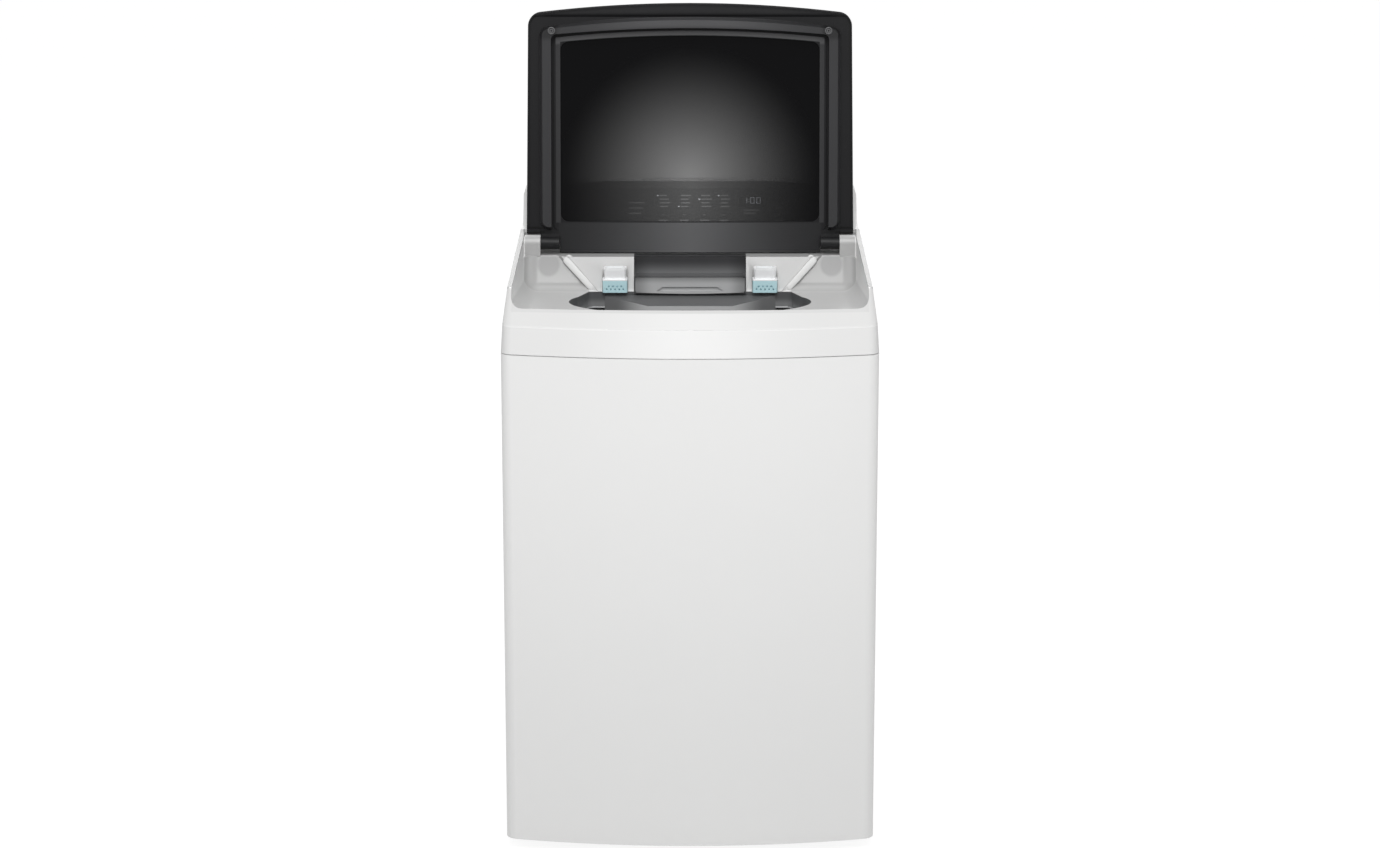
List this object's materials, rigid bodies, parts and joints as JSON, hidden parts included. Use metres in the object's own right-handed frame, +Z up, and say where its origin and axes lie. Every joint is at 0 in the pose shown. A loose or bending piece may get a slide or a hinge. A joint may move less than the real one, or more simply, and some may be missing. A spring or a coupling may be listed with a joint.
{
  "type": "top load washing machine",
  "caption": "Top load washing machine with a bowed white cabinet, a smoked-glass lid standing open, a basin with a round mouth, and a hung tub with basket, pulsator and belt drive.",
  "frame": {"origin": "centre of the footprint on the floor", "axes": "+Z up, +Y to the back, so the bowed front looks along -Y and +X is on the right of someone facing the front"},
  "size_m": [0.6, 0.62, 1.3309],
  "materials": {
    "cabinet_wrap": "white baked enamel",
    "back_panel": "galvanised grey",
    "back_screws": "zinc plated",
    "suspension_rods": "zinc plated",
    "suspension_springs": "zinc plated",
    "suspension_brackets": "zinc plated",
    "tub_bracket": "zinc plated",
    "tub_bearing": "zinc plated",
    "spin_tube": "zinc plated",
    "wash_shaft": "zinc plated",
    "input_shaft": "zinc plated",
    "hinge_pins": "zinc plated",
    "lid_screws": "zinc plated",
    "base_frame": "dark grey moulding",
    "rear_feet": "black rubber",
    "front_foot_left": "black rubber",
    "front_foot_right": "black rubber",
    "drive_belt": "black rubber",
    "sump_hose": "black rubber",
    "shaft_seal": "black rubber",
    "cord_gland": "black rubber",
    "spring_bells": "natural white moulding",
    "outer_tub": "natural white moulding",
    "tub_ring": "natural white moulding",
    "drain_pipe": "natural white moulding",
    "dispenser_housing": "natural white moulding",
    "top_cover": "white gloss moulding",
    "console_housing": "white gloss moulding",
    "dispenser_drawer": "light grey moulding",
    "pulsator": "light grey moulding",
    "pulsator_cap": "light grey moulding",
    "filter_cap_left": "light grey moulding",
    "filter_cap_right": "light grey moulding",
    "fill_chute": "dark grey moulding",
    "balance_ring": "dark grey moulding",
    "drain_pump": "dark grey moulding",
    "level_switch": "dark grey moulding",
    "filter_cup_left": "light blue moulding",
    "filter_cup_right": "light blue moulding",
    "lid_frame": "black gloss",
    "control_fascia": "black gloss",
    "key_program": "black gloss",
    "key_level": "black gloss",
    "key_rinse": "black gloss",
    "key_spin": "black gloss",
    "key_start": "black gloss",
    "key_power": "black gloss",
    "hinge_barrels": "black gloss",
    "lid_trim": "black satin",
    "display_window": "black satin",
    "lid_glass": "smoked glass",
    "wash_basket": "stainless steel",
    "basket_hub": "cast",
    "gearbox": "cast",
    "driven_pulley": "cast",
    "motor_pulley": "cast",
    "motor": "painted stator",
    "control_board": "circuit board",
    "inlet_valve_hot": "hot inlet moulding",
    "inlet_valve_cold": "cold inlet moulding"
  },
  "bodies": {
    "cabinet": {"cabinet_wrap": "cabinet_wrap", "back_panel": "back_panel", "back_screws": "back_screws", "base_frame": "base_frame", "rear_feet": "rear_feet", "suspension_brackets": "suspension_brackets", "suspension_rods": "suspension_rods", "top_cover": "top_cover", "console_housing": "console_housing", "control_fascia": "control_fascia", "display_window": "display_window", "control_board": "control_board", "dispenser_housing": "dispenser_housing", "fill_chute": "fill_chute", "inlet_valve_hot": "inlet_valve_hot", "inlet_valve_cold": "inlet_valve_cold", "level_switch": "level_switch", "drain_pump": "drain_pump", "drain_pipe": "drain_pipe", "cord_gland": "cord_gland"},
    "lid": {"lid_frame": "lid_frame", "lid_glass": "lid_glass", "lid_trim": "lid_trim", "lid_screws": "lid_screws", "hinge_barrels": "hinge_barrels", "hinge_pins": "hinge_pins"},
    "tub": {"outer_tub": "outer_tub", "tub_ring": "tub_ring", "tub_bracket": "tub_bracket", "tub_bearing": "tub_bearing", "shaft_seal": "shaft_seal", "gearbox": "gearbox", "motor": "motor", "drive_belt": "drive_belt", "spring_bells": "spring_bells", "suspension_springs": "suspension_springs", "sump_hose": "sump_hose"},
    "basket": {"wash_basket": "wash_basket", "balance_ring": "balance_ring", "basket_hub": "basket_hub", "spin_tube": "spin_tube"},
    "agitator": {"pulsator": "pulsator", "pulsator_cap": "pulsator_cap", "wash_shaft": "wash_shaft"},
    "pulley": {"driven_pulley": "driven_pulley", "input_shaft": "input_shaft"},
    "rotor": {"motor_pulley": "motor_pulley"},
    "drawer": {"dispenser_drawer": "dispenser_drawer"},
    "filter_left": {"filter_cup_left": "filter_cup_left", "filter_cap_left": "filter_cap_left"},
    "filter_right": {"filter_cup_right": "filter_cup_right", "filter_cap_right": "filter_cap_right"},
    "foot_left": {"front_foot_left": "front_foot_left"},
    "foot_right": {"front_foot_right": "front_foot_right"},
    "key_program": {"key_program": "key_program"},
    "key_level": {"key_level": "key_level"},
    "key_rinse": {"key_rinse": "key_rinse"},
    "key_spin": {"key_spin": "key_spin"},
    "key_start": {"key_start": "key_start"},
    "key_power": {"key_power": "key_power"}
  },
  "joints": [
    {"name": "lid_hinge", "type": "hinge", "parent": "cabinet", "child": "lid", "pos_m": [0, 0.145, 0.93], "axis": [1, 0, 0], "range_deg": [0, 101.74]},
    {"name": "tub_bounce", "type": "slide", "parent": "cabinet", "child": "tub", "axis": [0, 0, 1], "range_m": [-0.012, 0.008], "stiffness_N_per_m": 14000, "springref_m": 0.02436, "deforming": ["suspension_springs", "sump_hose"]},
    {"name": "basket_spin", "type": "hinge", "parent": "tub", "child": "basket", "pos_m": [0, -0.028, 0.5], "axis": [0, 0, 1], "continuous": true},
    {"name": "pulley_spin", "type": "hinge", "parent": "tub", "child": "pulley", "pos_m": [0, -0.028, 0.2], "axis": [0, 0, 1], "continuous": true},
    {"name": "agitator_spin", "type": "hinge", "parent": "tub", "child": "agitator", "pos_m": [0, -0.028, 0.37], "axis": [0, 0, 1], "continuous": true},
    {"name": "motor_spin", "type": "hinge", "parent": "tub", "child": "rotor", "pos_m": [0.15, 0.09, 0.2], "axis": [0, 0, 1], "continuous": true},
    {"name": "drawer_slide", "type": "slide", "parent": "cabinet", "child": "drawer", "axis": [0, -1, 0], "range_m": [0, 0.085]},
    {"name": "filter_lift_left", "type": "slide", "parent": "cabinet", "child": "filter_left", "axis": [0, 0, 1], "range_m": [0, 0.016]},
    {"name": "filter_lift_right", "type": "slide", "parent": "cabinet", "child": "filter_right", "axis": [0, 0, 1], "range_m": [0, 0.016]},
    {"name": "foot_screw_left", "type": "slide", "parent": "cabinet", "child": "foot_left", "axis": [0, 0, 1], "range_m": [0, 0.008]},
    {"name": "foot_screw_right", "type": "slide", "parent": "cabinet", "child": "foot_right", "axis": [0, 0, 1], "range_m": [0, 0.008]},
    {"name": "press_program", "type": "slide", "parent": "cabinet", "child": "key_program", "axis": [0, 0.7975, -0.6033], "range_m": [0, 0.0012], "stiffness_N_per_m": 700, "springref_m": -0.0006},
    {"name": "press_level", "type": "slide", "parent": "cabinet", "child": "key_level", "axis": [0, 0.7975, -0.6033], "range_m": [0, 0.0012], "stiffness_N_per_m": 700, "springref_m": -0.0006},
    {"name": "press_rinse", "type": "slide", "parent": "cabinet", "child": "key_rinse", "axis": [0, 0.7975, -0.6033], "range_m": [0, 0.0012], "stiffness_N_per_m": 700, "springref_m": -0.0006},
    {"name": "press_spin", "type": "slide", "parent": "cabinet", "child": "key_spin", "axis": [0, 0.7975, -0.6033], "range_m": [0, 0.0012], "stiffness_N_per_m": 700, "springref_m": -0.0006},
    {"name": "press_start", "type": "slide", "parent": "cabinet", "child": "key_start", "axis": [0, 0.7975, -0.6033], "range_m": [0, 0.0012], "stiffness_N_per_m": 700, "springref_m": -0.0006},
    {"name": "press_power", "type": "slide", "parent": "cabinet", "child": "key_power", "axis": [0, 0.7975, -0.6033], "range_m": [0, 0.0012], "stiffness_N_per_m": 700, "springref_m": -0.0006}
  ],
  "couplings": [
    {"joint": "motor_spin", "follows": "pulley_spin", "ratio": 3.086},
    {"joint": "agitator_spin", "follows": "pulley_spin", "ratio": 0.2}
  ]
}
